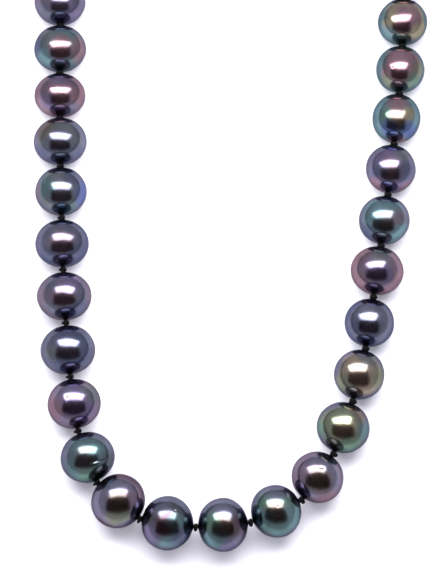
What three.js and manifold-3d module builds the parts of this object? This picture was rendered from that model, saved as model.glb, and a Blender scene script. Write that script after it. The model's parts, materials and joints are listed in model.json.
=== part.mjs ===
// Knotted strand of drilled pearls with a lobster-claw clasp, lying flat as a closed loop.
// Millimetres, +Z up, pearls resting on z = 0, origin under the middle of the loop.
import * as THREE from "three";
import { mergeVertices } from "three/addons/utils/BufferGeometryUtils.js";
import ManifoldModule from "manifold-3d";

// Pearls, from the clasp's left end to its right end: across the drill hole, and along it.
const PEARL_ACROSS = [
  9.5, 9.4, 9.6, 9.5, 9.7, 9.6, 9.9, 9.7, 9.8, 9.8, 10.0, 9.7, 10.15, 9.8, 10.2, 10.3, 10.3, 9.9,
  10.1, 10.3, 10.0, 10.0, 9.8, 9.8, 9.9, 9.5, 9.4, 10.0, 9.65, 9.5, 9.2, 9.3, 9.5, 9.5, 9.6, 9.4,
  9.7, 9.5, 9.6, 9.4, 9.5, 9.3, 9.4,
];
const PEARL_ALONG = [
  8.9, 8.8, 9.0, 8.9, 9.1, 8.9, 9.2, 9.0, 9.1, 9.0, 8.9, 8.4, 8.9, 9.1, 8.9, 9.0, 9.1, 9.2, 9.3,
  9.6, 9.5, 9.1, 9.2, 9.3, 9.4, 9.3, 9.0, 9.1, 9.2, 9.2, 9.4, 9.0, 8.95, 9.0, 9.0, 8.9, 9.1, 8.9,
  9.0, 8.8, 8.9, 8.8, 8.9,
];
// Room that the knot after each pearl takes between two pearls.
const KNOT_ROOM = [
  0.8, 0.8, 0.8, 0.75, 0.75, 0.75, 0.7, 0.7, 0.6, 0.55, 0.65, 0.6, 0.8, 1.2, 1.25, 1.25, 1.1, 1.2,
  0.8, 0.75, 0.9, 1.0, 1.05, 1.15, 1.15, 0.95, 1.0, 0.8, 0.95, 0.85, 0.6, 0.55, 0.7, 0.6, 0.7, 0.7,
  0.75, 0.75, 0.75, 0.8, 0.8, 0.8,
];
const MIDDLE_PEARL = 21; // counted from 0: the lowest pearl of the loop
const END_KNOT_ROOM = 0.9;
const HOLE_RADIUS = 0.5;
const SILK_RADIUS = 0.38;
const KNOT_RADIUS = 0.6;
const KNOT_SHOULDER_RADIUS = 0.53;
const PEARL_SIDES = 12;
const PEARL_SPANS = 9; // odd, so that a flat lies at the widest place

// The line that the silk lies on, from the middle pearl round the left side, over the top and back.
const LAY = [
  [0.0, -44.6], [-10.4, -44.9], [-19.9, -41.1], [-25.2, -32.3], [-27.6, -22.0], [-29.6, -1.6],
  [-30.5, 18.8], [-31.0, 37.8], [-31.2, 56.6], [-32.4, 76.0], [-33.2, 95.0], [-30.6, 115.4],
  [-22.8, 133.2], [-9.0, 144.2], [8.2, 145.2], [23.6, 138.0], [33.5, 121.0], [37.4, 99.5],
  [36.6, 80.0], [34.8, 61.8], [33.8, 42.7], [31.6, 22.9], [28.7, 3.0], [25.3, -16.8], [22.0, -26.8],
  [17.8, -36.3], [10.0, -43.0],
];

// Jump ring and end ring: round wire rings that stand on edge.
const RING_RADIUS = 1.75;
const RING_WIRE = 0.35;
// Gimp: a loop of silk inside fine coiled wire.
const GIMP_WIRE = 0.35;
const GIMP_HALF_WIDTH = 0.87;
const GIMP_LENGTH = 4.2; // middle of the wire, end to end
const GIMP_PEARL_Z = 4.55;
const GIMP_RING_Z = 2.55;
const GIMP_GAP = 0.05; // between the end knot and the gimp
const GIMP_GRIP = 0.82; // from the gimp's far end back to the middle of the ring's wire
// Lobster claw, measured from the middle of its eye towards its tip.
const CLAW_THICK = 3.0;
const EYE_Z = 1.5;
const EYE_THICK = 1.0;
const EYE_OUTER = 1.6;
const EYE_HOLE = 0.8;
const CLAW_MIDDLE = 6.2;
const CLAW_HALF_LENGTH = 4.4;
const CLAW_HALF_WIDTH = 3.3;
const JAW_MIDDLE = [6.9, 0.05];
const JAW_HALF = [2.55, 1.75];
const PIVOT = [3.3, -1.35];
const PIN_RADIUS = 0.4;
const LEVER_THICK = 1.2;
const LEVER_SLOT = 1.4;
const LEVER_BOSS = 1.0;
const PIN_CLEARANCE = 0.03;
const GATE_OUTER = [4.3, 3.2];
const GATE_INNER = [3.3, 2.15];
const GATE_STEPS = 10;

const wasm = await ManifoldModule();
wasm.setup();

const v3 = (x, y, z) => new THREE.Vector3(x, y, z);

function toSolid(geometry) {
  const plain = new THREE.BufferGeometry();
  const source = geometry.index ? geometry.toNonIndexed() : geometry;
  plain.setAttribute("position", source.getAttribute("position"));
  const merged = mergeVertices(plain, 1e-4);
  const mesh = new wasm.Mesh({
    numProp: 3,
    vertProperties: new Float32Array(merged.attributes.position.array),
    triVerts: new Uint32Array(merged.index.array),
  });
  return new wasm.Manifold(mesh);
}

function toGeometry(solid) {
  const mesh = solid.getMesh();
  const geometry = new THREE.BufferGeometry();
  geometry.setAttribute("position", new THREE.BufferAttribute(mesh.vertProperties, 3));
  geometry.setIndex(new THREE.BufferAttribute(mesh.triVerts, 1));
  geometry.computeVertexNormals();
  return geometry;
}

// A flat outline given thickness, centred on the given height.
function plate(shape, thick, middleZ, segments = 10) {
  const settings = { depth: thick, bevelEnabled: false, curveSegments: segments };
  const geometry = new THREE.ExtrudeGeometry(shape, settings);
  geometry.translate(0, 0, middleZ - thick / 2);
  return toSolid(geometry);
}

function rod(radius, length, x, y, z, sides = 20) {
  const geometry = new THREE.CylinderGeometry(radius, radius, length, sides);
  geometry.rotateX(Math.PI / 2);
  geometry.translate(x, y, z);
  return toSolid(geometry);
}

function ellipse(cx, cy, rx, ry, sides = 36) {
  const shape = new THREE.Shape();
  for (let i = 0; i < sides; i += 1) {
    const turn = (i / sides) * Math.PI * 2;
    const x = cx + rx * Math.cos(turn);
    const y = cy + ry * Math.sin(turn);
    if (i === 0) shape.moveTo(x, y);
    else shape.lineTo(x, y);
  }
  shape.closePath();
  return shape;
}

function outline(points) {
  const shape = new THREE.Shape();
  points.forEach(([x, y], i) => (i ? shape.lineTo(x, y) : shape.moveTo(x, y)));
  shape.closePath();
  return shape;
}

// ---- Where everything lies -------------------------------------------------------------------
const layCurve = new THREE.CatmullRomCurve3(LAY.map(([x, y]) => v3(x, y, 0)), true, "centripetal");
const laySteps = 8000;
const layPoints = layCurve.getPoints(laySteps);

// Walks along the lay from a point number, to the point a straight distance away.
function walk(from, index, distance, direction) {
  let i = index;
  for (let n = 0; n < laySteps; n += 1) {
    const next = (i + direction + laySteps) % laySteps;
    const b = layPoints[next].distanceTo(from);
    if (b >= distance) {
      const a = layPoints[i].distanceTo(from);
      const share = (distance - a) / (b - a);
      return [layPoints[i].clone().lerp(layPoints[next], share), next];
    }
    i = next;
  }
  throw new Error("the lay is too short");
}

const pearlCount = PEARL_ACROSS.length;
const roomAfter = (i) => (i < 0 || i >= pearlCount - 1 ? END_KNOT_ROOM : KNOT_ROOM[i]);
const spanOf = (i) => PEARL_ALONG[i] + (roomAfter(i - 1) + roomAfter(i)) / 2;

// knots[i] is the knot before pearl i, and knots[i + 1] the one after it.
const knots = new Array(pearlCount + 1);
const halfMiddle = spanOf(MIDDLE_PEARL) / 2;
const middlePoint = layPoints[0];
let [leftKnot, leftIndex] = walk(middlePoint, 0, halfMiddle, 1);
let [rightKnot, rightIndex] = walk(middlePoint, 0, halfMiddle, -1);
knots[MIDDLE_PEARL] = leftKnot;
knots[MIDDLE_PEARL + 1] = rightKnot;
for (let i = MIDDLE_PEARL - 1; i >= 0; i -= 1) {
  [leftKnot, leftIndex] = walk(leftKnot, leftIndex, spanOf(i), 1);
  knots[i] = leftKnot;
}
for (let i = MIDDLE_PEARL + 1; i < pearlCount; i += 1) {
  [rightKnot, rightIndex] = walk(rightKnot, rightIndex, spanOf(i), -1);
  knots[i + 1] = rightKnot;
}
const radiusOf = (i) => PEARL_ACROSS[Math.min(Math.max(i, 0), pearlCount - 1)] / 2;
knots.forEach((knot, i) => knot.setZ((radiusOf(i - 1) + radiusOf(i)) / 2));

const pearls = PEARL_ACROSS.map((across, i) => {
  const before = knots[i].clone().setZ(across / 2);
  const after = knots[i + 1].clone().setZ(across / 2);
  const along = after.clone().sub(before).normalize();
  const first = before.clone().addScaledVector(along, roomAfter(i - 1) / 2);
  const last = after.clone().addScaledVector(along, -roomAfter(i) / 2);
  return { across, along, first, last, centre: first.clone().add(last).multiplyScalar(0.5) };
});

// ---- Pieces ----------------------------------------------------------------------------------
const inner = new THREE.Group();
const root = new THREE.Group();
root.name = "pearl_necklace";
root.add(inner);

const PEARL_COLOURS = {
  slate: 0x55586a,
  indigo: 0x3a4160,
  aubergine: 0x4d3550,
  teal: 0x2f5a5a,
  bronze: 0x6a5a3c,
  rose: 0x6a4a5c,
};
const SILK = new THREE.MeshStandardMaterial({ color: 0x121214, roughness: 0.8 });
const METAL = new THREE.MeshStandardMaterial({ color: 0xb8bcc2, roughness: 0.2, metalness: 1 });
const FINISHES = Object.fromEntries(
  Object.entries(PEARL_COLOURS).map(([name, color]) => [
    name,
    new THREE.MeshStandardMaterial({ color, roughness: 0.15, metalness: 0.4 }),
  ]),
);
const PEARL_FINISH = [
  "slate", "teal", "aubergine", "indigo", "rose", "slate", "teal", "bronze", "slate",
  "slate", "teal", "rose", "indigo", "indigo", "slate", "slate", "indigo", "aubergine", "teal",
  "aubergine", "teal", "aubergine", "teal", "slate", "bronze", "bronze", "slate", "aubergine",
  "teal", "rose", "bronze", "rose", "bronze", "aubergine",
  "slate", "indigo", "teal", "rose", "aubergine", "slate", "bronze", "indigo", "slate",
];

function add(name, geometry, material) {
  const mesh = new THREE.Mesh(geometry, material);
  mesh.name = name;
  inner.add(mesh);
  return mesh;
}

// A drilled pearl, oblate along its hole. It rests on a flat, and is as wide as stated across flats.
function pearlGeometry(across, length) {
  const ratio = HOLE_RADIUS / (across / 2);
  const halfAlong = length / 2 / Math.sqrt(1 - ratio * ratio);
  const edge = Math.asin(ratio);
  const turnAt = (i) => edge + ((Math.PI - 2 * edge) * i) / PEARL_SPANS;
  const sideAngle = Math.PI / PEARL_SIDES;
  const widest = across / 2 / Math.cos(sideAngle) / Math.sin(turnAt((PEARL_SPANS - 1) / 2));
  const profile = [];
  for (let i = 0; i <= PEARL_SPANS; i += 1) {
    const turn = turnAt(i);
    profile.push(new THREE.Vector2(widest * Math.sin(turn), -halfAlong * Math.cos(turn)));
  }
  profile.push(profile[0].clone());
  const geometry = new THREE.LatheGeometry(profile, PEARL_SIDES);
  geometry.rotateY(sideAngle);
  return geometry;
}

pearls.forEach((pearl, i) => {
  const name = `pearl_${String(i + 1).padStart(2, "0")}`;
  const mesh = add(name, pearlGeometry(pearl.across, PEARL_ALONG[i]), FINISHES[PEARL_FINISH[i]]);
  const up = v3(0, 0, 1);
  const side = new THREE.Vector3().crossVectors(pearl.along, up);
  mesh.quaternion.setFromRotationMatrix(new THREE.Matrix4().makeBasis(side, pearl.along, up));
  mesh.position.copy(pearl.centre);
});

// The silk: one thread through every pearl, thicker where it is knotted.
function threadGeometry(stations, sides = 8) {
  const positions = [];
  const ring = ({ at, along, radius }) => {
    const side = new THREE.Vector3().crossVectors(along, v3(0, 0, 1)).normalize();
    const up = new THREE.Vector3().crossVectors(side, along).normalize();
    return Array.from({ length: sides }, (_, k) => {
      const turn = (k / sides) * Math.PI * 2;
      return at
        .clone()
        .addScaledVector(side, radius * Math.cos(turn))
        .addScaledVector(up, radius * Math.sin(turn));
    });
  };
  const rings = stations.map(ring);
  const face = (...corners) => corners.forEach((c) => positions.push(c.x, c.y, c.z));
  for (let i = 0; i + 1 < rings.length; i += 1) {
    for (let k = 0; k < sides; k += 1) {
      const m = (k + 1) % sides;
      face(rings[i][k], rings[i + 1][m], rings[i][m]);
      face(rings[i][k], rings[i + 1][k], rings[i + 1][m]);
    }
  }
  for (const [cap, at, turned] of [
    [rings[0], stations[0].at, false],
    [rings[rings.length - 1], stations[stations.length - 1].at, true],
  ]) {
    for (let k = 0; k < sides; k += 1) {
      const m = (k + 1) % sides;
      if (turned) face(at, cap[m], cap[k]);
      else face(at, cap[k], cap[m]);
    }
  }
  const geometry = new THREE.BufferGeometry();
  geometry.setAttribute("position", new THREE.Float32BufferAttribute(positions, 3));
  geometry.computeVertexNormals();
  return geometry;
}

const stations = [];
const leftEnd = pearls[0];
const rightEnd = pearls[pearlCount - 1];
function addKnot(i) {
  const before = i > 0 ? pearls[i - 1].along : leftEnd.along;
  const after = i < pearlCount ? pearls[i].along : rightEnd.along;
  const along = before.clone().add(after).normalize();
  const reach = roomAfter(i - 1) / 2;
  for (const [step, radius] of [
    [-0.4, KNOT_SHOULDER_RADIUS],
    [0, KNOT_RADIUS],
    [0.4, KNOT_SHOULDER_RADIUS],
  ]) {
    const at = knots[i].clone().addScaledVector(along, step * reach);
    stations.push({ at, along, radius });
  }
}
const silkEnd = END_KNOT_ROOM * 0.42;
stations.push({
  at: knots[0].clone().addScaledVector(leftEnd.along, -silkEnd),
  along: leftEnd.along,
  radius: SILK_RADIUS,
});
for (let i = 0; i < pearlCount; i += 1) {
  addKnot(i);
  stations.push({ at: pearls[i].first, along: pearls[i].along, radius: SILK_RADIUS });
  stations.push({ at: pearls[i].last, along: pearls[i].along, radius: SILK_RADIUS });
}
addKnot(pearlCount);
stations.push({
  at: knots[pearlCount].clone().addScaledVector(rightEnd.along, silkEnd),
  along: rightEnd.along,
  radius: SILK_RADIUS,
});
add("silk_thread", threadGeometry(stations), SILK);

// ---- Clasp end -------------------------------------------------------------------------------
// Each gimp loop leaves its pearl along the hole and slopes down to its ring.
function gimpGeometry() {
  const straight = GIMP_LENGTH / 2 - GIMP_HALF_WIDTH;
  const points = [];
  const turns = 8;
  for (let i = 0; i <= turns; i += 1) {
    const turn = -Math.PI / 2 + (Math.PI * i) / turns;
    points.push(v3(straight + GIMP_HALF_WIDTH * Math.cos(turn), GIMP_HALF_WIDTH * Math.sin(turn), 0));
  }
  for (let i = 0; i <= turns; i += 1) {
    const turn = Math.PI / 2 + (Math.PI * i) / turns;
    points.push(v3(-straight + GIMP_HALF_WIDTH * Math.cos(turn), GIMP_HALF_WIDTH * Math.sin(turn), 0));
  }
  const path = new THREE.CatmullRomCurve3(points, true, "centripetal");
  return new THREE.TubeGeometry(path, 40, GIMP_WIRE, 8, true);
}

// A local frame: x away from the pearl along the ground, y to its left, z up.
function placeAlong(mesh, at, heading, slope = 0) {
  const flat = v3(heading.x, heading.y, 0).normalize();
  const left = v3(-flat.y, flat.x, 0);
  const down = flat.clone().multiplyScalar(Math.cos(slope)).setZ(-Math.sin(slope));
  const up = new THREE.Vector3().crossVectors(down, left);
  mesh.quaternion.setFromRotationMatrix(new THREE.Matrix4().makeBasis(down, left, up));
  mesh.position.copy(at);
}

const drop = GIMP_PEARL_Z - GIMP_RING_Z;
const gimpSlope = Math.asin(drop / GIMP_LENGTH);
const gimpReach = GIMP_LENGTH * Math.cos(gimpSlope);
const gimpStart = END_KNOT_ROOM / 2 + GIMP_WIRE + GIMP_GAP;

// The loop's far end wraps the ring's near wire; returns where that wire stands.
function addGimp(name, knot, heading) {
  const flat = v3(heading.x, heading.y, 0).normalize();
  const middle = knot.clone().addScaledVector(flat, gimpStart + gimpReach / 2);
  middle.setZ((GIMP_PEARL_Z + GIMP_RING_Z) / 2);
  placeAlong(add(name, gimpGeometry(), METAL), middle, flat, gimpSlope);
  return knot.clone().addScaledVector(flat, gimpStart + gimpReach - GIMP_GRIP).setZ(0);
}

const leftRingWire = addGimp("gimp_left", knots[0], leftEnd.along.clone().negate());
const rightRingWire = addGimp("gimp_right", knots[pearlCount], rightEnd.along);
const claspLine = rightRingWire.clone().sub(leftRingWire).normalize();
const ringZ = RING_RADIUS + RING_WIRE;

function addRing(name, centre) {
  const geometry = new THREE.TorusGeometry(RING_RADIUS, RING_WIRE, 10, 28);
  geometry.rotateX(Math.PI / 2);
  placeAlong(add(name, geometry, METAL), centre.clone().setZ(ringZ), claspLine);
}
const jumpRing = leftRingWire.clone().addScaledVector(claspLine, RING_RADIUS);
const endRing = rightRingWire.clone().addScaledVector(claspLine, -RING_RADIUS);
addRing("jump_ring", jumpRing);
addRing("end_ring", endRing);

const eyeReach = Math.sqrt(RING_RADIUS ** 2 - (ringZ - EYE_Z) ** 2);
const eye = jumpRing.clone().addScaledVector(claspLine, eyeReach);
const clawLength = CLAW_MIDDLE + CLAW_HALF_LENGTH;

// Body: a flat-backed egg with a round jaw, a mouth in its lower side, an eye and a lever slot.
const mouth = outline([[5.1, -1.2], [8.7, -1.0], [8.0, -4.5], [4.5, -4.5]]);
const egg = ellipse(CLAW_MIDDLE, 0, CLAW_HALF_LENGTH, CLAW_HALF_WIDTH, 44);
const jaw = ellipse(...JAW_MIDDLE, ...JAW_HALF, 32);
let claw = plate(egg, CLAW_THICK, CLAW_THICK / 2);
claw = claw.subtract(plate(jaw, CLAW_THICK + 1, CLAW_THICK / 2));
claw = claw.subtract(plate(mouth, CLAW_THICK + 1, CLAW_THICK / 2));
const lug = plate(ellipse(0, 0, EYE_OUTER, EYE_OUTER, 28), EYE_THICK, EYE_Z)
  .add(plate(outline([[0.8, -0.8], [2.6, -1.0], [2.6, 1.0], [0.8, 0.8]]), EYE_THICK, EYE_Z));
claw = claw.add(lug).subtract(plate(ellipse(0, 0, EYE_HOLE, EYE_HOLE, 20), EYE_THICK + 1, EYE_Z));
const slot = outline([
  [PIVOT[0] - 1.1, 0.4], [4.6, 0.4], [5.3, -1.3], [5.3, -4.5], [PIVOT[0] - 1.1, -4.5],
]);
claw = claw.subtract(plate(slot, LEVER_SLOT, CLAW_THICK / 2));
claw = claw.subtract(rod(PIN_RADIUS + PIN_CLEARANCE, CLAW_THICK + 1, ...PIVOT, CLAW_THICK / 2));

// Lever: a boss on the pin, a gate along the mouth and a thumb tab outside.
function leverSolid() {
  const from = Math.PI * 1.28;
  const to = Math.PI * 1.655;
  const arc = ([along, sideways]) =>
    Array.from({ length: GATE_STEPS + 1 }, (_, i) => {
      const turn = from + ((to - from) * i) / GATE_STEPS;
      return [CLAW_MIDDLE + along * Math.cos(turn), sideways * Math.sin(turn)];
    });
  const leverPlate = (shape) => plate(shape, LEVER_THICK, CLAW_THICK / 2);
  const bar = leverPlate(outline([...arc(GATE_OUTER), ...arc(GATE_INNER).reverse()]));
  const boss = leverPlate(ellipse(...PIVOT, LEVER_BOSS, LEVER_BOSS, 24));
  const web = leverPlate(outline([[3.4, -2.2], [4.25, -1.1], [5.4, -1.9], [4.8, -3.0]]));
  const tab = leverPlate(outline([[4.3, -2.6], [5.3, -2.8], [4.9, -4.4], [3.7, -4.3]]));
  const hole = rod(PIN_RADIUS + PIN_CLEARANCE, CLAW_THICK + 1, ...PIVOT, CLAW_THICK / 2);
  return bar.add(boss).add(web).add(tab).subtract(hole);
}

// Spring: a small bent leaf behind the lever's boss.
function springSolid() {
  const leaf = [[2.25, 0.08], [4.0, 0.08], [4.1, -0.22], [4.32, -0.16], [4.2, 0.32], [2.25, 0.32]];
  return plate(outline(leaf), 0.8, CLAW_THICK / 2);
}

function placeClaw(name, solid, material) {
  placeAlong(add(name, toGeometry(solid), material), eye.clone().setZ(0), claspLine);
}
placeClaw("clasp_body", claw, METAL);
placeClaw("clasp_lever", leverSolid(), METAL);
placeClaw("clasp_pin", rod(PIN_RADIUS, CLAW_THICK - 0.1, ...PIVOT, CLAW_THICK / 2), METAL);
placeClaw("clasp_spring", springSolid(), METAL);

const latchGap = endRing.distanceTo(eye) - RING_RADIUS - RING_WIRE - clawLength;

// ---- Origin: under the middle of the loop's box ----------------------------------------------
root.updateMatrixWorld(true);
const box = new THREE.Box3();
inner.children.forEach((mesh) => {
  const placed = mesh.geometry.clone().applyMatrix4(mesh.matrixWorld);
  placed.computeBoundingBox();
  box.union(placed.boundingBox);
});
const shift = v3(-(box.min.x + box.max.x) / 2, -(box.min.y + box.max.y) / 2, -box.min.z);
inner.position.copy(shift);
root.updateMatrixWorld(true);

// Hinge points in the part's frame, in millimetres.
const pivotAt = ([x, y]) => {
  const left = v3(-claspLine.y, claspLine.x, 0);
  return eye.clone().addScaledVector(claspLine, x).addScaledVector(left, y);
};
export const hinges = {
  knots: knots.map((knot) => knot.clone().add(shift)),
  jump_ring: leftRingWire.clone().setZ(ringZ).add(shift),
  end_ring: rightRingWire.clone().setZ(ringZ).add(shift),
  clasp: eye.clone().setZ(EYE_Z).add(shift),
  lever: pivotAt(PIVOT).setZ(CLAW_THICK / 2).add(shift),
  claspLine,
  latchGap,
};
export default root;
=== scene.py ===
"""A knotted strand of dark, off-round pearls lying as a closed loop on a pale floor.

Pearls are placed by their CAD nodes and drilled along the line between their knots; the knots sit
on the joints. Metres. A place on a pearl is given as (right, up) in radii on the face that looks
up and a little towards the front.
"""
import json
import math

import bmesh
import bpy
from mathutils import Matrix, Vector, noise


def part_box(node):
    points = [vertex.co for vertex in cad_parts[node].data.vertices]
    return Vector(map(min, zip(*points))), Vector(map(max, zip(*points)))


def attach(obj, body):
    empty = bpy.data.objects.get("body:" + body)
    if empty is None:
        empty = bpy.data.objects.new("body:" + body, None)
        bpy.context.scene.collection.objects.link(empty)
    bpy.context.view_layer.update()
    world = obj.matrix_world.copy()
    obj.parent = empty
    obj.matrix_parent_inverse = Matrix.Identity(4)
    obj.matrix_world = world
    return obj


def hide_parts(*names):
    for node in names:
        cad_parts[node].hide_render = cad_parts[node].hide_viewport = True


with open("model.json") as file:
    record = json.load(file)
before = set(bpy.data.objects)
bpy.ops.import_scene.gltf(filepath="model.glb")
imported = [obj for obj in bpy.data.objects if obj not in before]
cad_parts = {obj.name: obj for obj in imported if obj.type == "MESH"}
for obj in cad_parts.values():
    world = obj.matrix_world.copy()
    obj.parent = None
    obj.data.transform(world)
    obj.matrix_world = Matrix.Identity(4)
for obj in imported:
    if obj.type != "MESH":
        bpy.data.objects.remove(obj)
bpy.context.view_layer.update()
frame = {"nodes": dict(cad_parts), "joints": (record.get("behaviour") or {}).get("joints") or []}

MM = 0.001
UP = Vector((0, 0, 1))

# ---- Camera ------------------------------------------------------------------------------------
CAMERA_ELEVATION = math.radians(75.5)
CAMERA_DISTANCE = 0.510
CAMERA_LENS = 171.0
LOWEST_PEARL = "pearl_22"
AIM_PAST_LOWEST_PEARL = 0.0446

# ---- Pearls ------------------------------------------------------------------------------------
PEARL_SIDES = 64
PEARL_SPANS = 40
HOLE_RADIUS = 0.5 * MM
HOLE_CHAMFER = 0.06 * MM
HOLE_PROFILE = ((0.03 * MM, 0.025 * MM), (0.08 * MM, 0.0), (1.6 * MM, 0.0))
UNEVEN_BROAD = 0.018
UNEVEN_FINE = 0.004
EVEN_NEAR_HOLE = 0.25
EASE_NEAR_HOLE = 0.014
EASE_ELSEWHERE = 0.0072
EASE_RISE = 8
FADE_RISE = 2.5
BROAD_SCALE = 1.2
FINE_SCALE = 3.1
SHAPE_SEED_STEP = (1.7, 0.9, 2.3)
CREASE_WIDTH = 0.028
CREASE_WANDER = 0.02
CREASE_WAVES = 11
PIT_SPREAD = 0.7
FLAW_CUTS = 4
PIT_REACH = 2.2
CREASE_REACH = 1.25
FLAW_MARGIN = 0.03

# ---- Nacre: noise scales are per metre ------------------------------------------------------------
CLOUD_SCALE = 260
GRAIN_SCALE = 1500
SKIN_SCALE = 700
NACRE_SEED_STEP = (0.0371, 0.0193, 0.0127)
PATCH_WANDER = 0.55
# Painted sheen: where the ring and middle tones fade in, by nearness to the side that faces the camera.
PAINTED_SHEEN_RING_FADE = (0.35, 0.72)
PAINTED_SHEEN_MIDDLE_FADE = (0.78, 0.97)
PATCH_EDGE = 1.35
PATCH_CORE = 0.25
PATCH_SHARE = 0.85
CLOUD_SHADE = (0.85, 1.15)
NACRE_ROUGHNESS = (0.17, 0.24)
NACRE_EDGE_TINT = (0.50, 0.49, 0.56)
NACRE_BUMP = (0.35, 0.00003)

# ---- Silk --------------------------------------------------------------------------------------
PLY_COUNT = 3
PLY_RADIUS = 0.16 * MM
PLY_OFFSET = 0.18 * MM
PLY_TURN_LENGTH = 2.2 * MM
KNOT_TURN_RADIUS = 0.40 * MM
KNOT_LOOP_RADIUS = 0.19 * MM
KNOT_CORD_RADIUS = 0.23 * MM
KNOT_STEPS = 72
KNOT_CLEARANCE = 0.10 * MM
KNOT_STRETCH = (0.6, 2.0)
KNOT_PLY_TWISTS = 12
KNOT_PLY_OFFSET = 0.45
KNOT_PLY_THICKNESS = 0.62
RUN_STEPS = 44
SILK_SIDES = 6
FIBRE_SCALE = 9000
SILK_DARK = (0.0015, 0.0015, 0.002)
SILK_LIGHT = (0.006, 0.006, 0.007)
SILK_BUMP = (0.5, 0.00002)

# ---- Studio: a small light tent, in metres from the aim -----------------------------------------
FLOOR_HALF = 3.0
FLOOR_HEIGHT = -0.00002
FLOOR_MOTTLE_SCALE = 60
FLOOR_DARK = (0.87, 0.865, 0.93)
FLOOR_LIGHT = (0.90, 0.895, 0.96)
# Painted shade: the floor's colour where the pearls mirror it, darker than the paper the camera sees.
FLOOR_SHADED_IN_MIRROR = (0.53, 0.53, 0.54)
TENT_MIDDLE_X = -0.010
TENT_RIDGE = (-0.0095, 0.197)
PANEL_FAR_EDGE = (0.080, 0.1213)
PANEL_WIDTH = 0.262
PANEL_RADIANCE = 9.4
PANEL_FALL = (1.15, 0.55)
MOUTH_LOW_EDGE = (-0.2350, 0.012)
MOUTH_HALF_WIDTH = 0.24
MOUTH_SIDE_FADE = (0.140, 0.210)
MOUTH_LOW_FADE = (-0.205, -0.150)
# Colour of the dark sheet that paints the dark reflection in the pearls.
MOUTH_COLOUR = (0.035, 0.024, 0.026)
TENT_LEVEL = 0.64
TENT_GLOW_LEVEL = 0.74
TENT_GLOW_REACH = (0.35, 1.0)
TENT_DIFFUSE_LEVEL = 0.85
TENT_COLOUR = (0.94, 0.93, 1.0)

# Nacre reflectance for each overtone, linear.
TONES = {
    "slate": (0.150, 0.152, 0.215),
    "lavender": (0.200, 0.185, 0.270),
    "pewter": (0.160, 0.175, 0.190),
    "indigo": (0.105, 0.118, 0.195),
    "blue": (0.105, 0.140, 0.330),
    "violet": (0.180, 0.150, 0.260),
    "mauve": (0.205, 0.155, 0.205),
    "rose": (0.270, 0.165, 0.200),
    "pink": (0.340, 0.230, 0.270),
    "aubergine": (0.120, 0.078, 0.105),
    "umber": (0.175, 0.145, 0.130),
    "bronze": (0.300, 0.245, 0.200),
    "gold": (0.320, 0.290, 0.200),
    "olive": (0.200, 0.225, 0.165),
    "green": (0.130, 0.225, 0.180),
    "teal": (0.115, 0.190, 0.210),
    "turquoise": (0.150, 0.245, 0.280),
    "charcoal": (0.095, 0.105, 0.125),
}
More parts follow.
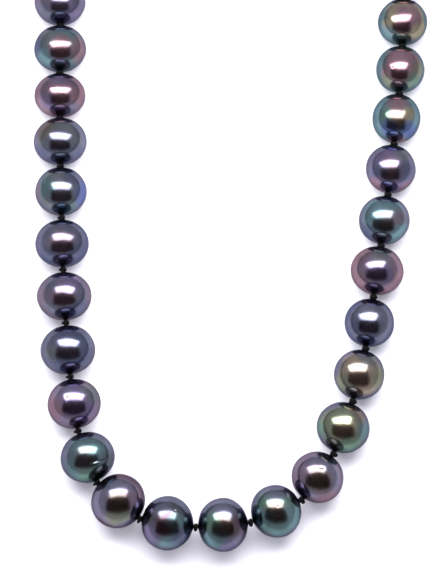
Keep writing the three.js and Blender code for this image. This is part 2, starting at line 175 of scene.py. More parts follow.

# Each pearl of the front run: tones for the middle of its face, the ring round it and its rim, laid in
# rings round the side that faces the camera as a painted overtone sheen, then patches as (right, up, reach,
# tone) and flaws as (kind, right, up, size, depth).
LOOKS = {
    10: ("lavender", "slate", "lavender", [(-0.6, 0.3, 0.5, "mauve"), (0.6, -0.5, 0.5, "violet")], []),
    11: ("rose", "teal", "slate", [
        (-0.62, -0.45, 0.55, "turquoise"), (0.80, -0.15, 0.50, "rose"), (-0.50, 0.45, 0.45, "pewter"),
        (0.15, -0.75, 0.40, "teal"), (-0.9, 0.0, 0.35, "indigo"),
    ], []),
    12: ("rose", "mauve", "rose", [
        (0.0, 0.75, 0.40, "violet"), (-0.65, -0.60, 0.45, "pink"), (0.85, 0.0, 0.45, "rose"),
        (-0.45, -0.35, 0.40, "violet"), (0.55, -0.65, 0.35, "slate"),
    ], [("crease", 0.0, 0.70, 0.45, 0.006)]),
    13: ("slate", "pewter", "lavender", [
        (-0.55, -0.60, 0.50, "indigo"), (0.60, -0.60, 0.50, "indigo"), (-0.6, 0.55, 0.45, "umber"),
        (0.8, 0.4, 0.4, "slate"),
    ], []),
    14: ("slate", "pewter", "slate", [
        (-0.60, 0.15, 0.50, "teal"), (0.92, -0.10, 0.50, "blue"), (-0.92, 0.10, 0.35, "mauve"),
        (0.45, 0.55, 0.35, "indigo"), (0.3, -0.75, 0.4, "teal"),
    ], [("pit", -0.62, 0.40, 0.07, 0.020), ("pit", -0.60, 0.52, 0.06, 0.015)]),
    15: ("mauve", "slate", "indigo", [
        (-0.50, -0.55, 0.50, "indigo"), (0.60, -0.50, 0.50, "indigo"), (-0.6, 0.45, 0.45, "slate"),
        (-0.95, -0.1, 0.35, "violet"),
    ], []),
    16: ("mauve", "slate", "mauve", [
        (0.20, 0.60, 0.45, "violet"), (-0.85, 0.0, 0.40, "mauve"), (0.5, -0.6, 0.5, "indigo"),
    ], []),
    17: ("slate", "indigo", "slate", [
        (-0.65, 0.45, 0.40, "slate"), (0.0, -0.70, 0.50, "indigo"), (-0.6, -0.1, 0.3, "pewter"),
    ], [("pit", -0.45, -0.42, 0.045, 0.010)]),
    18: ("violet", "violet", "mauve", [
        (-0.78, -0.10, 0.55, "rose"), (0.0, -0.80, 0.45, "mauve"), (0.70, 0.45, 0.40, "pewter"),
        (-0.35, 0.55, 0.35, "lavender"),
    ], [("pit", -0.22, 0.28, 0.07, 0.012), ("pit", -0.62, -0.45, 0.05, 0.012)]),
    19: ("pewter", "teal", "slate", [
        (0.20, -0.65, 0.50, "green"), (0.45, 0.30, 0.35, "teal"), (-0.85, 0.2, 0.45, "slate"),
        (0.85, -0.1, 0.4, "charcoal"),
    ], [("crease", 0.50, -0.08, 0.34, 0.035)]),
    20: ("umber", "lavender", "aubergine", [
        (0.05, -0.60, 0.40, "olive"), (-0.75, -0.10, 0.50, "lavender"), (0.55, 0.20, 0.35, "mauve"),
        (-0.2, 0.7, 0.4, "slate"), (0.3, -0.85, 0.3, "violet"),
    ], []),
    21: ("aubergine", "charcoal", "slate", [
        (0.38, 0.10, 0.35, "teal"), (0.10, -0.60, 0.40, "turquoise"), (-0.60, -0.35, 0.40, "violet"),
        (0.55, -0.45, 0.45, "indigo"), (-0.3, 0.65, 0.4, "slate"),
    ], [("pit", 0.30, 0.52, 0.05, 0.015)]),
    22: ("umber", "slate", "slate", [
        (-0.52, 0.15, 0.45, "green"), (-0.25, -0.55, 0.45, "teal"), (0.62, 0.05, 0.50, "aubergine"),
        (0.25, -0.75, 0.40, "violet"), (0.05, 0.75, 0.40, "slate"), (-0.6, -0.55, 0.35, "turquoise"),
    ], []),
    23: ("umber", "green", "slate", [
        (0.68, -0.15, 0.50, "turquoise"), (-0.50, -0.35, 0.50, "teal"), (0.0, 0.75, 0.45, "slate"),
        (0.2, -0.7, 0.4, "teal"),
    ], [("pit", 0.05, 0.26, 0.045, 0.010), ("pit", 0.08, -0.86, 0.05, 0.012)]),
    24: ("umber", "lavender", "mauve", [
        (0.30, -0.82, 0.50, "rose"), (-0.65, 0.10, 0.45, "mauve"), (0.3, 0.7, 0.4, "slate"),
    ], [("crease", 0.12, 0.36, 0.12, 0.012)]),
    25: ("gold", "olive", "slate", [
        (-0.60, 0.30, 0.45, "olive"), (0.75, -0.10, 0.45, "teal"), (0.1, -0.75, 0.5, "green"),
        (0.6, 0.55, 0.35, "umber"), (-0.9, 0.0, 0.3, "green"),
    ], []),
    26: ("bronze", "bronze", "slate", [
        (0.80, -0.10, 0.45, "olive"), (-0.62, -0.40, 0.45, "olive"), (-0.85, 0.45, 0.40, "slate"),
        (0.3, 0.7, 0.4, "pewter"),
    ], []),
    27: ("slate", "slate", "indigo", [
        (-0.52, -0.10, 0.35, "indigo"), (0.6, 0.3, 0.4, "slate"), (0.0, -0.7, 0.4, "indigo"),
    ], [("crease", 0.02, 0.32, 0.26, 0.003)]),
    28: ("violet", "mauve", "rose", [
        (-0.75, -0.50, 0.50, "rose"), (0.65, -0.60, 0.50, "rose"), (0.15, 0.65, 0.40, "pewter"),
        (0.3, -0.35, 0.3, "violet"),
    ], []),
    29: ("pewter", "turquoise", "slate", [
        (-0.50, 0.45, 0.50, "turquoise"), (0.60, 0.10, 0.35, "mauve"), (0.60, -0.60, 0.45, "turquoise"),
        (-0.65, -0.60, 0.45, "indigo"), (0.1, 0.8, 0.35, "teal"),
    ], []),
    30: ("mauve", "violet", "slate", [
        (0.55, -0.10, 0.40, "indigo"), (0.60, -0.75, 0.45, "rose"), (-0.60, -0.75, 0.45, "rose"),
        (0.50, 0.60, 0.35, "pewter"), (-0.55, -0.1, 0.35, "indigo"),
    ], []),
    31: ("bronze", "turquoise", "teal", [
        (0.0, 0.65, 0.45, "rose"), (-0.52, 0.10, 0.30, "green"), (0.50, 0.20, 0.30, "gold"),
        (-0.35, -0.50, 0.35, "blue"), (0.45, -0.55, 0.40, "blue"), (0.0, -0.92, 0.35, "pink"),
    ], []),
    32: ("rose", "rose", "teal", [
        (0.50, -0.50, 0.40, "green"), (0.70, 0.05, 0.35, "olive"), (-0.8, 0.35, 0.35, "teal"),
        (-0.6, -0.5, 0.35, "olive"),
    ], [("pit", -0.38, 0.02, 0.05, 0.012)]),
    33: ("rose", "bronze", "teal", [
        (0.45, 0.10, 0.35, "rose"), (0.68, -0.42, 0.40, "gold"), (-0.60, 0.10, 0.35, "gold"),
        (-0.60, -0.55, 0.40, "turquoise"), (-0.85, 0.2, 0.3, "teal"), (0.3, 0.75, 0.3, "pink"),
    ], []),
    34: ("rose", "umber", "slate", [(-0.5, 0.2, 0.4, "mauve"), (0.5, -0.4, 0.4, "olive")], []),
}
# The other pearls take these faces in turn.
UNSEEN_LOOKS = [
    ("lavender", "slate", "slate", [(-0.5, -0.5, 0.5, "indigo"), (0.7, 0.1, 0.4, "mauve")], []),
    ("umber", "teal", "slate", [(0.4, -0.6, 0.5, "green"), (-0.7, 0.2, 0.4, "turquoise")], []),
    ("violet", "mauve", "mauve", [(-0.6, -0.5, 0.5, "rose"), (0.5, 0.6, 0.4, "slate")], []),
    ("slate", "indigo", "lavender", [(0.6, -0.4, 0.5, "indigo"), (-0.6, 0.4, 0.4, "violet")], []),
    ("bronze", "olive", "slate", [(0.6, -0.4, 0.5, "green"), (-0.6, 0.3, 0.4, "gold")], []),
    ("rose", "mauve", "slate", [(-0.7, 0.0, 0.5, "pink"), (0.5, -0.6, 0.4, "indigo")], []),
]

FACE = Vector((0, -math.cos(CAMERA_ELEVATION), math.sin(CAMERA_ELEVATION)))
FACE_UP = Vector((0, math.sin(CAMERA_ELEVATION), math.cos(CAMERA_ELEVATION)))
FACE_RIGHT = Vector((1, 0, 0))


def face_direction(right, up):
    """The direction from a pearl's middle to a place on its face."""
    out = math.sqrt(max(0.0, 1 - right * right - up * up))
    return (FACE_RIGHT * right + FACE_UP * up + FACE * out).normalized()


# ---- Mesh helpers ------------------------------------------------------------------------------
def add_object(name, bm, material, location=(0, 0, 0), smooth=True):
    mesh = bpy.data.meshes.new(name)
    bmesh.ops.recalc_face_normals(bm, faces=bm.faces)
    bm.to_mesh(mesh)
    bm.free()
    mesh.materials.append(material)
    if smooth:
        mesh.shade_smooth()
    obj = bpy.data.objects.new(name, mesh)
    obj.location = location
    bpy.context.scene.collection.objects.link(obj)
    return obj


def carried_frames(points, closed):
    """A tangent, and two directions across it that turn as little as they can, at each point."""
    count = len(points)
    tangents = []
    for i in range(count):
        before = points[i - 1] if (i or closed) else points[i]
        after = points[(i + 1) % count] if (i + 1 < count or closed) else points[i]
        tangents.append((after - before).normalized())
    side = tangents[0].orthogonal().normalized()
    frames = []
    for tangent in tangents:
        side = (side - tangent * side.dot(tangent)).normalized()
        frames.append((tangent, side, tangent.cross(side)))
    if closed:
        tangent, first, other = frames[0]
        last = frames[-1][1]
        last = (last - tangent * last.dot(tangent)).normalized()
        slip = math.atan2(last.dot(other), last.dot(first))
        frames = [
            (t, s * math.cos(-slip * i / count) + o * math.sin(-slip * i / count),
             o * math.cos(-slip * i / count) - s * math.sin(-slip * i / count))
            for i, (t, s, o) in enumerate(frames)
        ]
    return frames


def add_tube(bm, points, radius, sides=6, closed=False):
    """A round tube along points, capped if it is open."""
    frames = carried_frames(points, closed)
    rings = []
    for point, (_, side, other) in zip(points, frames):
        rings.append([
            bm.verts.new(point + side * (radius * math.cos(a)) + other * (radius * math.sin(a)))
            for a in (2 * math.pi * k / sides for k in range(sides))
        ])
    for i in range(len(rings) if closed else len(rings) - 1):
        here, there = rings[i], rings[(i + 1) % len(rings)]
        for k in range(sides):
            m = (k + 1) % sides
            bm.faces.new((here[k], here[m], there[m], there[k]))
    if not closed:
        bm.faces.new(rings[0][::-1])
        bm.faces.new(rings[-1])


def along_path(points, steps):
    """Evenly spaced points along straight stretches, each with its distance from the start."""
    lengths = [(b - a).length for a, b in zip(points, points[1:])]
    total = sum(lengths)
    found = []
    for n in range(steps + 1):
        left = total * n / steps
        i = 0
        while i < len(lengths) - 1 and left > lengths[i]:
            left -= lengths[i]
            i += 1
        way = (points[i + 1] - points[i]).normalized()
        found.append((points[i] + way * left, total * n / steps))
    return found


# ---- Materials ---------------------------------------------------------------------------------
def new_material(name):
    material = bpy.data.materials.new(name)
    material.use_nodes = True
    nodes = material.node_tree.nodes
    links = material.node_tree.links
    return material, nodes, links, nodes["Principled BSDF"]


def add_noise(nodes, links, vector, scale, detail=3.0, roughness=0.5):
    node = nodes.new("ShaderNodeTexNoise")
    node.inputs["Scale"].default_value = scale
    node.inputs["Detail"].default_value = detail
    node.inputs["Roughness"].default_value = roughness
    links.new(vector, node.inputs["Vector"])
    return node


def map_range(nodes, links, value, low, high, to_low=0.0, to_high=1.0, smooth=True):
    node = nodes.new("ShaderNodeMapRange")
    node.interpolation_type = "SMOOTHSTEP" if smooth else "LINEAR"
    for socket, number in zip(("From Min", "From Max", "To Min", "To Max"), (low, high, to_low, to_high)):
        node.inputs[socket].default_value = number
    links.new(value, node.inputs["Value"])
    return node.outputs["Result"]


def mix_colour(nodes, links, share, first, second):
    """first and second are sockets or linear colours."""
    node = nodes.new("ShaderNodeMix")
    node.data_type = "RGBA"
    links.new(share, node.inputs["Factor"])
    for label, colour in (("A", first), ("B", second)):
        socket = [s for s in node.inputs if s.name == label and s.type == "RGBA"][0]
        if isinstance(colour, tuple):
            socket.default_value = (*colour, 1)
        else:
            links.new(colour, socket)
    return [s for s in node.outputs if s.type == "RGBA"][0]


def vector_math(nodes, links, operation, *values):
    """values are sockets or plain vectors."""
    node = nodes.new("ShaderNodeVectorMath")
    node.operation = operation
    for socket, value in zip(node.inputs, values):
        if isinstance(value, (tuple, Vector)):
            socket.default_value = value
        else:
            links.new(value, socket)
    return node


def add_bump(nodes, links, shader, height, strength, distance):
    bump = nodes.new("ShaderNodeBump")
    bump.inputs["Strength"].default_value = strength
    bump.inputs["Distance"].default_value = distance
    links.new(height, bump.inputs["Height"])
    links.new(bump.outputs["Normal"], shader.inputs["Normal"])


def nacre(name, look, seed):
    """Dark nacre: a lustrous coloured mirror whose tone drifts over the pearl, with a painted overtone
    sheen in rings round the side that faces the camera.
    """
    middle, ring, rim, patches, _ = look
    material, nodes, links, shader = new_material(name)
    place = nodes.new("ShaderNodeTexCoord").outputs["Object"]
    shifted = vector_math(nodes, links, "ADD", place, tuple(seed * step for step in NACRE_SEED_STEP))
    cloud = add_noise(nodes, links, shifted.outputs["Vector"], CLOUD_SCALE, 3.0, 0.55)

    # Direction from the middle, pushed about a little so that no patch has a clean edge.
    direction = vector_math(nodes, links, "NORMALIZE", place)
    centred = vector_math(nodes, links, "SUBTRACT", cloud.outputs["Color"], (0.5, 0.5, 0.5))
    pushed = vector_math(
        nodes, links, "MULTIPLY_ADD",
        centred.outputs["Vector"], (PATCH_WANDER,) * 3, direction.outputs["Vector"],
    )
    wandering = vector_math(nodes, links, "NORMALIZE", pushed.outputs["Vector"])

    def nearness(towards):
        dot = vector_math(nodes, links, "DOT_PRODUCT", wandering.outputs["Vector"], towards)
        return dot.outputs["Value"]

    # Painted sheen: the rim, ring and middle tones follow nearness to the side that faces the camera,
    # standing in for the overtone that shifts with the viewing angle.
    facing = nearness(FACE)
    colour = mix_colour(nodes, links, map_range(nodes, links, facing, *PAINTED_SHEEN_RING_FADE), TONES[rim], TONES[ring])
    colour = mix_colour(nodes, links, map_range(nodes, links, facing, *PAINTED_SHEEN_MIDDLE_FADE), colour, TONES[middle])
    for right, up, reach, tone in patches:
        share = map_range(
            nodes, links, nearness(face_direction(right, up)),
            math.cos(reach * PATCH_EDGE), math.cos(reach * PATCH_CORE), 0.0, PATCH_SHARE,
        )
        colour = mix_colour(nodes, links, share, colour, TONES[tone])

    # Growth shading: slightly lighter and darker clouds, and a fine grain in the gloss.
    grain = add_noise(nodes, links, shifted.outputs["Vector"], GRAIN_SCALE, 4.0, 0.6)
    tint = nodes.new("ShaderNodeHueSaturation")
    links.new(map_range(nodes, links, cloud.outputs["Fac"], 0.3, 0.7, *CLOUD_SHADE), tint.inputs["Value"])
    links.new(colour, tint.inputs["Color"])
    links.new(tint.outputs["Color"], shader.inputs["Base Color"])

    shader.inputs["Metallic"].default_value = 1.0
    shader.inputs["Specular Tint"].default_value = (*NACRE_EDGE_TINT, 1)
    links.new(
        map_range(nodes, links, grain.outputs["Fac"], 0.3, 0.75, *NACRE_ROUGHNESS, False),
        shader.inputs["Roughness"],
    )
    skin = add_noise(nodes, links, shifted.outputs["Vector"], SKIN_SCALE, 2.0, 0.5)
    add_bump(nodes, links, shader, skin.outputs["Fac"], *NACRE_BUMP)
    return material


def silk_material():
    """Black spun silk: fibres along the twist, soft sheen."""
    material, nodes, links, shader = new_material("silk_black")
    place = nodes.new("ShaderNodeTexCoord").outputs["Object"]
    fibres = add_noise(nodes, links, place, FIBRE_SCALE, 3.0, 0.6)
    colour = mix_colour(
        nodes, links, map_range(nodes, links, fibres.outputs["Fac"], 0.35, 0.7),
        SILK_DARK, SILK_LIGHT,
    )
    links.new(colour, shader.inputs["Base Color"])
    shader.inputs["Roughness"].default_value = 0.62
    shader.inputs["Specular IOR Level"].default_value = 0.12
    shader.inputs["Sheen Weight"].default_value = 0.02
    shader.inputs["Sheen Roughness"].default_value = 0.4
    add_bump(nodes, links, shader, fibres.outputs["Fac"], *SILK_BUMP)
    return material


def metal_material(name, colour, roughness, scratch_scale):
    """Polished white metal with hairline scratches and slight handling marks."""
    material, nodes, links, shader = new_material(name)
    place = nodes.new("ShaderNodeTexCoord").outputs["Object"]
    marks = add_noise(nodes, links, place, scratch_scale, 5.0, 0.65)
    dark = tuple(c * MARK_SHADE for c in colour)
    links.new(
        mix_colour(nodes, links, map_range(nodes, links, marks.outputs["Fac"], 0.35, 0.65), dark, colour),
        shader.inputs["Base Color"],
    )
    shader.inputs["Metallic"].default_value = 1.0
    links.new(
        map_range(nodes, links, marks.outputs["Fac"], 0.3, 0.7, roughness * MARK_DULLING, roughness, False),
        shader.inputs["Roughness"],
    )
    add_bump(nodes, links, shader, marks.outputs["Fac"], *MARK_BUMP)
    return material


# ---- Where the strand lies ---------------------------------------------------------------------
joints = {j["name"]: j for j in frame["joints"]}
pearl_names = sorted(n for n in frame["nodes"] if n.startswith("pearl_"))
pearl_count = len(pearl_names)


def node_middle(name):
    low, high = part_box(name)
    return (low + high) / 2


def lay_out():
    """For each pearl: its middle, radius across, drill direction and length; and every knot."""
    middles = [node_middle(n) for n in pearl_names]
    knots = [Vector(joints[f"knot_{i:02d}"]["pos_m"]) for i in range(1, pearl_count)]
    first = middles[0] * 2 - knots[0]
    last = middles[-1] * 2 - knots[-1]
    knots = [first, *knots, last]
    pearls = []
    for i, name in enumerate(pearl_names):
        along = knots[i + 1] - knots[i]
        along.z = 0
        along.normalize()
        reach = [(v.co - middles[i]).dot(along) for v in frame["nodes"][name].data.vertices]
        low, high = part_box(name)
        pearls.append({
            "name": name, "middle": middles[i], "radius": (high.z - low.z) / 2,
            "along": along, "half_length": (max(reach) - min(reach)) / 2,
        })
    return pearls, knots


# ---- Pearls ------------------------------------------------------------------------------------
CREASE_LINE = (FACE_UP * 0.96 - FACE_RIGHT * 0.28).normalized()


def flaw_depth(direction, flaws):
    """How far, in radii, the flaws press the surface in at a direction."""
    depth = 0.0
    for kind, right, up, size, deep in flaws:
        centre = face_direction(right, up)
        apart = math.acos(max(-1.0, min(1.0, direction.dot(centre))))
        if kind == "pit":
            depth += deep * math.exp(-((apart / (size * PIT_SPREAD)) ** 2))
            continue
        level = (direction - centre).dot(CREASE_LINE)
        level += CREASE_WANDER * math.sin(CREASE_WAVES * (direction - centre).dot(FACE_RIGHT))
        depth += deep * math.exp(-((level / CREASE_WIDTH) ** 2)) * math.exp(-((apart / size) ** 4))
    return depth


def refine_at_flaws(bm, flaws):
    """Finer faces round each flaw, so that its shape is in the mesh."""
    for kind, right, up, size, _ in flaws:
        centre = face_direction(right, up)
        widths = PIT_REACH if kind == "pit" else CREASE_REACH
        reach = math.cos(size * widths + FLAW_MARGIN)
        near = [f for f in bm.faces if f.calc_center_median().normalized().dot(centre) > reach]
        edges = list({e for f in near for e in f.edges})
        bmesh.ops.subdivide_edges(bm, edges=edges, cuts=FLAW_CUTS, use_grid_fill=True)


def pearl_mesh(pearl, flaws, seed):
    """A drilled pearl, oblate along its hole, with a slightly uneven shape and its flaws."""
    bm = bmesh.new()
    radius, half = pearl["radius"], pearl["half_length"]
    along = pearl["along"]
    side = along.cross(UP).normalized()
    edge = math.asin((HOLE_RADIUS + HOLE_CHAMFER) / radius)
    stretch = half / math.cos(edge)
    offset = Vector(tuple(seed * step for step in SHAPE_SEED_STEP))
    spokes = [
        side * math.cos(turn) + UP * math.sin(turn)
        for turn in (2 * math.pi * k / PEARL_SIDES for k in range(PEARL_SIDES))
    ]
    skin = []
    for i in range(PEARL_SPANS + 1):
        tilt = edge + (math.pi - 2 * edge) * i / PEARL_SPANS
        skin.append((radius * math.sin(tilt), -stretch * math.cos(tilt)))
    far = [(HOLE_RADIUS + wider, half - depth) for depth, wider in HOLE_PROFILE]
    near = [(HOLE_RADIUS + wider, depth - half) for depth, wider in reversed(HOLE_PROFILE)]
    rings = [
        [bm.verts.new(spoke * out + along * place) for spoke in spokes]
        for out, place in (*skin, *far, *near)
    ]
    for here, there in zip(rings, rings[1:] + rings[:1]):
        for k in range(PEARL_SIDES):
            m = (k + 1) % PEARL_SIDES
            bm.faces.new((here[k], here[m], there[m], there[k]))
    refine_at_flaws(bm, flaws)
    for vert in bm.verts:
        from_axis = (vert.co - along * vert.co.dot(along)).length
        if from_axis < HOLE_RADIUS + HOLE_CHAMFER * 0.9:
            continue
        direction = vert.co.normalized()
        lengthwise = direction.dot(along)
        sideways = math.sqrt(max(0.0, 1 - lengthwise * lengthwise))
        size = 1 / math.hypot(lengthwise / stretch, sideways / radius)
        uneven = UNEVEN_BROAD * noise.noise(direction * BROAD_SCALE + offset)
        uneven += UNEVEN_FINE * noise.noise(direction * FINE_SCALE + offset)
        fade = min(1.0, max(0.0, sideways - EVEN_NEAR_HOLE) * FADE_RISE)
        rise = min(1.0, max(0.0, sideways - math.sin(edge)) * EASE_RISE)
        ease = EASE_NEAR_HOLE + (EASE_ELSEWHERE - EASE_NEAR_HOLE) * fade
        swell = 1 + uneven * fade - ease * rise - flaw_depth(direction, flaws)
        vert.co = direction * (size * swell)
    return bm


def build_pearls(pearls):
    unseen = 0
    for i, pearl in enumerate(pearls):
        number = i + 1
        look = LOOKS.get(number)
        if look is None:
            look = UNSEEN_LOOKS[unseen % len(UNSEEN_LOOKS)]
            unseen += 1
        material = nacre(f"nacre_{number:02d}", look, number)
        bm = pearl_mesh(pearl, look[4], number)
        piece = add_object(f"nacre_pearl_{number:02d}", bm, material, pearl["middle"])
        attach(piece, pearl["name"])
        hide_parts(pearl["name"])


# ---- Silk --------------------------------------------------------------------------------------
def add_plied_cord(bm, points, steps):
    """Plies twisted round each other along straight stretches."""
    path = along_path(points, steps)
    frames = carried_frames([p for p, _ in path], False)
    for ply in range(PLY_COUNT):
        start = 2 * math.pi * ply / PLY_COUNT
        line = []
        for (point, distance), (_, side, other) in zip(path, frames):
            turn = start + 2 * math.pi * distance / PLY_TURN_LENGTH
            line.append(point + (side * math.cos(turn) + other * math.sin(turn)) * PLY_OFFSET)
        add_tube(bm, line, PLY_RADIUS, SILK_SIDES)


def add_knot(bm, at, along, half_room):
    """An overhand knot drawn tight: a cord that winds round the line twice while looping over itself."""
    side = along.cross(UP).normalized()
    other = side.cross(along).normalized()
    least, most = KNOT_STRETCH
    room = (half_room - KNOT_CLEARANCE) / (KNOT_LOOP_RADIUS + KNOT_CORD_RADIUS)
    stretch = max(least, min(most, room))
    for ply in range(2):
        line = []
        for n in range(KNOT_STEPS):
            t = 2 * math.pi * n / KNOT_STEPS
            round_line, round_loop = 2 * t, 3 * t
            out = KNOT_TURN_RADIUS + KNOT_LOOP_RADIUS * math.cos(round_loop)
            spoke = side * math.cos(round_line) + other * math.sin(round_line)
            push = along * (KNOT_LOOP_RADIUS * math.sin(round_loop) * stretch)
            twist = KNOT_PLY_TWISTS * t + math.pi * ply
            ply_shift = spoke * math.cos(twist) + along * math.sin(twist)
            line.append(at + spoke * out + push + ply_shift * (KNOT_CORD_RADIUS * KNOT_PLY_OFFSET))
        add_tube(bm, line, KNOT_CORD_RADIUS * KNOT_PLY_THICKNESS, SILK_SIDES, closed=True)


def build_silk(pearls, knots, silk):
    for i, pearl in enumerate(pearls):
        half = pearl["along"] * pearl["half_length"]
        bm = bmesh.new()
        route = [knots[i], pearl["middle"] - half, pearl["middle"] + half, knots[i + 1]]
        add_plied_cord(bm, route, RUN_STEPS)
        piece = add_object(f"silk_run_{i + 1:02d}", bm, silk)
        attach(piece, pearl["name"])
        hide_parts("silk_thread")
    for i, knot in enumerate(knots):
        before = pearls[max(i - 1, 0)]
        after = pearls[min(i, pearl_count - 1)]
        along = (before["along"] + after["along"]).normalized()
        ends = [(p["middle"] - knot).length - p["half_length"] for p in (before, after)]
        bm = bmesh.new()
        add_knot(bm, knot, along, min(ends))
        piece = add_object(f"silk_knot_{i:02d}", bm, silk)
        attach(piece, before["name"] if i > pearl_count // 2 else after["name"])
        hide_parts("silk_thread")


# ---- Clasp end ---------------------------------------------------------------------------------
RING_WIRE = 0.35 * MM
GIMP_CORE = 0.21 * MM
GIMP_COIL_WIRE = 0.06 * MM
GIMP_COIL_RADIUS = 0.27 * MM
GIMP_COIL_PITCH = 0.15 * MM
GIMP_PAST_RING_WIRE = 0.82 * MM
GIMP_HALF_WIDTH = 0.85 * MM
GIMP_NECK_HALF_WIDTH = 0.33 * MM
GIMP_PAST_KNOT = 0.45 * MM
GIMP_ROUNDING = 0.75
GIMP_STEPS = 120
GIMP_CORE_SIDES = 8
COIL_STEPS = 8
COIL_SIDES = 5
WIRE_ABOVE_RING_FOOT = 0.42 * MM
RING_STEPS = 72
RING_SIDES = 18
CAST_SMOOTHING = (0.5, 6)
MARK_SHADE = 0.82
MARK_DULLING = 1.7
MARK_BUMP = (0.15, 0.00001)
# Colour, roughness and scale of the marks.
SILVER = ((0.80, 0.80, 0.82), 0.12, 900)
STEEL = ((0.56, 0.57, 0.60), 0.28, 1600)
GIMP_METAL = ((0.74, 0.74, 0.76), 0.2, 2500)


def gimp_route(start, ring_wire):
    """A teardrop from the pearl's knot round the ring's near wire and back, sloping down."""
    heading = (ring_wire - start)
    heading.z = 0
    length = heading.length + GIMP_PAST_RING_WIRE
    heading.normalize()
    left = UP.cross(heading)
    points = []
    for n in range(GIMP_STEPS):
        turn = 2 * math.pi * n / GIMP_STEPS
        share = (1 - math.cos(turn)) / 2
        spread = GIMP_NECK_HALF_WIDTH + (GIMP_HALF_WIDTH - GIMP_NECK_HALF_WIDTH) * share
        wide = spread * math.copysign(abs(math.sin(turn)) ** GIMP_ROUNDING, math.sin(turn))
        height = start.z + (ring_wire.z - start.z) * share
        ahead = GIMP_PAST_KNOT + (length - GIMP_PAST_KNOT) * share
        place = start + heading * ahead + left * wide
        points.append(Vector((place.x, place.y, height)))
    return points


def build_gimp(name, start, ring_wire, body, silk, metal):
    route = gimp_route(start, ring_wire)
    bm = bmesh.new()
    add_tube(bm, route, GIMP_CORE, GIMP_CORE_SIDES, closed=True)
    core = add_object(f"{name}_silk", bm, silk)
    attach(core, body)
    total = sum((b - a).length for a, b in zip(route, route[1:] + route[:1]))
    turns = round(total / GIMP_COIL_PITCH)
    frames = carried_frames(route, True)
    steps = turns * COIL_STEPS
    coil = []
    for n in range(steps):
        place = n / steps * len(route)
        i = int(place)
        part = place - i
        j = (i + 1) % len(route)
        point = route[i].lerp(route[j], part)
        side = frames[i][1].lerp(frames[j][1], part)
        other = frames[i][2].lerp(frames[j][2], part)
        turn = 2 * math.pi * n / COIL_STEPS
        coil.append(point + (side * math.cos(turn) + other * math.sin(turn)) * GIMP_COIL_RADIUS)
    bm = bmesh.new()
    add_tube(bm, coil, GIMP_COIL_WIRE, COIL_SIDES, closed=True)
    piece = add_object(f"{name}_wire", bm, metal)
    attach(piece, body)
    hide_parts(name)


def build_ring(name, body, metal, line):
    low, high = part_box(name)
    middle = (low + high) / 2
    radius = (high.z - low.z) / 2 - RING_WIRE
    points = [
        middle + line * (radius * math.cos(a)) + UP * (radius * math.sin(a))
        for a in (2 * math.pi * n / RING_STEPS for n in range(RING_STEPS))
    ]
    bm = bmesh.new()
    add_tube(bm, points, RING_WIRE, RING_SIDES, closed=True)
    piece = add_object(f"{name}_wire", bm, metal)
    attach(piece, body)
    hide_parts(name)


def build_cast_part(node, body, metal, voxel):
    """The CAD solid's shape with its edges rounded over, as cast and tumbled metal is."""
    mesh = frame["nodes"][node].data.copy()
    mesh.name = f"{node}_cast"
    mesh.materials.clear()
    mesh.materials.append(metal)
    piece = bpy.data.objects.new(f"{node}_cast", mesh)
    bpy.context.scene.collection.objects.link(piece)
    remesh = piece.modifiers.new("even", "REMESH")
    remesh.mode = "VOXEL"
    remesh.voxel_size = voxel
    soften = piece.modifiers.new("soften", "SMOOTH")
    soften.factor, soften.iterations = CAST_SMOOTHING
    bpy.context.view_layer.update()
    shaped = bpy.data.meshes.new_from_object(piece.evaluated_get(bpy.context.evaluated_depsgraph_get()))
    piece.modifiers.clear()
    piece.data = shaped
    shaped.shade_smooth()
    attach(piece, body)
    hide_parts(node)


def build_clasp(pearls, knots, silk):
    silver = metal_material("silver_polished", *SILVER)
    steel = metal_material("steel_satin", *STEEL)
    gimp = metal_material("gimp_bright", *GIMP_METAL)
    line = node_middle("end_ring") - node_middle("jump_ring")
    line.z = 0
    line.normalize()
    for name, ring, knot, body in (
        ("gimp_left", "jump_ring", knots[0], "pearl_01"),
        ("gimp_right", "end_ring", knots[-1], pearl_names[-1]),
    ):
        wire = Vector(joints[f"{ring}_swing"]["pos_m"])
        wire.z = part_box(name)[0].z + WIRE_ABOVE_RING_FOOT
        build_gimp(name, knot, wire, body, silk, gimp)
        build_ring(ring, ring, silver, line)
    build_cast_part("clasp_body", "clasp", silver, 0.09 * MM)
    build_cast_part("clasp_lever", "clasp_lever", silver, 0.07 * MM)
    build_cast_part("clasp_pin", "clasp", steel, 0.05 * MM)
    build_cast_part("clasp_spring", "clasp", steel, 0.04 * MM)


# ---- Studio ------------------------------------------------------------------------------------
def build_floor():
    material, nodes, links, shader = new_material("floor_white")
    place = nodes.new("ShaderNodeTexCoord").outputs["Object"]
    mottle = add_noise(nodes, links, place, FLOOR_MOTTLE_SCALE, 3.0, 0.5)
    paper = mix_colour(nodes, links, mottle.outputs["Fac"], FLOOR_DARK, FLOOR_LIGHT)
    # Painted shade in reflections: glossy rays see the floor darker than the camera does.
    path = nodes.new("ShaderNodeLightPath")
    seen = mix_colour(nodes, links, path.outputs["Is Glossy Ray"], paper, FLOOR_SHADED_IN_MIRROR)
    links.new(seen, shader.inputs["Base Color"])
    shader.inputs["Roughness"].default_value = 0.9
    bm = bmesh.new()
    corners = ((-1, -1), (1, -1), (1, 1), (-1, 1))
    bm.faces.new([bm.verts.new((x * FLOOR_HALF, y * FLOOR_HALF, 0)) for x, y in corners])
    floor = add_object("floor", bm, material, (0, 0, FLOOR_HEIGHT), smooth=False)


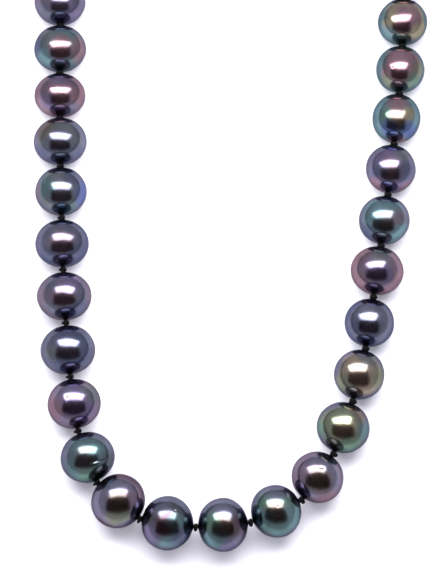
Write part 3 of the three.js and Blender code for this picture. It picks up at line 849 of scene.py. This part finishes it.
def build_mouth(aim):
    """The tent's dark opening, a dark sheet seen only in the pearls' mirrors, where it paints a dark
    reflection; the camera looks through it.
    """
    material, nodes, links, shader = new_material("tent_mouth")
    shader.inputs["Base Color"].default_value = (*MOUTH_COLOUR, 1)
    shader.inputs["Roughness"].default_value = 1.0
    shader.inputs["Specular IOR Level"].default_value = 0.0
    place = nodes.new("ShaderNodeTexCoord").outputs["Object"]
    parts = nodes.new("ShaderNodeSeparateXYZ")
    links.new(place, parts.inputs["Vector"])
    sideways = nodes.new("ShaderNodeMath")
    sideways.operation = "ABSOLUTE"
    links.new(parts.outputs["X"], sideways.inputs[0])
    side_fade = map_range(nodes, links, sideways.outputs["Value"], *MOUTH_SIDE_FADE, 1.0, 0.0)
    low_fade = map_range(nodes, links, parts.outputs["Y"], *MOUTH_LOW_FADE)
    both = nodes.new("ShaderNodeMath")
    both.operation = "MULTIPLY"
    links.new(side_fade, both.inputs[0])
    links.new(low_fade, both.inputs[1])
    links.new(both.outputs["Value"], shader.inputs["Alpha"])
    bm = bmesh.new()
    rows = [
        [bm.verts.new((side * MOUTH_HALF_WIDTH, y, z)) for side in (-1, 1)]
        for y, z in (TENT_RIDGE, MOUTH_LOW_EDGE)
    ]
    bm.faces.new((rows[0][0], rows[0][1], rows[1][1], rows[1][0]))
    mouth = add_object("tent_mouth", bm, material, aim + Vector((TENT_MIDDLE_X, 0, 0)), smooth=False)
    mouth.visible_camera = False
    mouth.visible_shadow = False
    mouth.visible_diffuse = False


def build_lights(aim):
    ridge = Vector((TENT_MIDDLE_X, *TENT_RIDGE))
    far_edge = Vector((TENT_MIDDLE_X, *PANEL_FAR_EDGE))
    slope = far_edge - ridge
    facing = slope.cross(Vector((1, 0, 0))).normalized()
    if facing.z > 0:
        facing = -facing
    panel = bpy.data.lights.new("panel", "AREA")
    panel.shape = "RECTANGLE"
    panel.size = PANEL_WIDTH
    panel.size_y = slope.length
    panel.energy = PANEL_RADIANCE * math.pi * panel.size * panel.size_y
    panel.use_nodes = True
    nodes, links = panel.node_tree.nodes, panel.node_tree.links
    across = nodes.new("ShaderNodeSeparateXYZ")
    links.new(nodes.new("ShaderNodeNewGeometry").outputs["Parametric"], across.inputs["Vector"])
    strength = map_range(nodes, links, across.outputs["Y"], 0.0, 1.0, *PANEL_FALL, False)
    links.new(strength, nodes["Emission"].inputs["Strength"])
    lamp = bpy.data.objects.new("panel", panel)
    lamp.location = aim + (ridge + far_edge) / 2
    lamp.rotation_mode = "QUATERNION"
    lamp.rotation_quaternion = facing.to_track_quat("-Z", "Y")
    lamp.visible_camera = False
    bpy.context.scene.collection.objects.link(lamp)

    world = bpy.data.worlds.new("tent")
    bpy.context.scene.world = world
    world.use_nodes = True
    nodes, links = world.node_tree.nodes, world.node_tree.links
    background = nodes["Background"]
    place = nodes.new("ShaderNodeTexCoord").outputs["Generated"]
    glow = nodes.new("ShaderNodeVectorMath")
    glow.operation = "DOT_PRODUCT"
    glow.inputs[1].default_value = -facing
    links.new(place, glow.inputs[0])
    level = map_range(nodes, links, glow.outputs["Value"], *TENT_GLOW_REACH, TENT_LEVEL, TENT_GLOW_LEVEL)
    path = nodes.new("ShaderNodeLightPath")
    for ray, strength in (("Is Diffuse Ray", TENT_DIFFUSE_LEVEL), ("Is Camera Ray", 1.0)):
        pick = nodes.new("ShaderNodeMix")
        links.new(path.outputs[ray], pick.inputs["Factor"])
        links.new(level, pick.inputs["A"])
        pick.inputs["B"].default_value = strength
        level = pick.outputs["Result"]
    links.new(level, background.inputs["Strength"])
    background.inputs["Color"].default_value = (*TENT_COLOUR, 1)


def build_camera(aim):
    data = bpy.data.cameras.new("camera")
    data.lens = CAMERA_LENS
    data.sensor_width = 36.0
    data.clip_start = 0.01
    camera = bpy.data.objects.new("camera", data)
    camera.location = aim + FACE * CAMERA_DISTANCE
    camera.rotation_mode = "QUATERNION"
    camera.rotation_quaternion = (-FACE).to_track_quat("-Z", "Y")
    bpy.context.scene.collection.objects.link(camera)
    bpy.context.scene.camera = camera


def main():
    aim = node_middle(LOWEST_PEARL) + Vector((0, AIM_PAST_LOWEST_PEARL, 0))
    build_camera(aim)
    pearls, knots = lay_out()
    silk = silk_material()
    build_pearls(pearls)
    build_silk(pearls, knots, silk)
    build_clasp(pearls, knots, silk)
    build_floor()
    build_mouth(aim)
    build_lights(aim)
    view = bpy.context.scene.view_settings
    view.view_transform = "Standard"
    view.look = "None"


main()
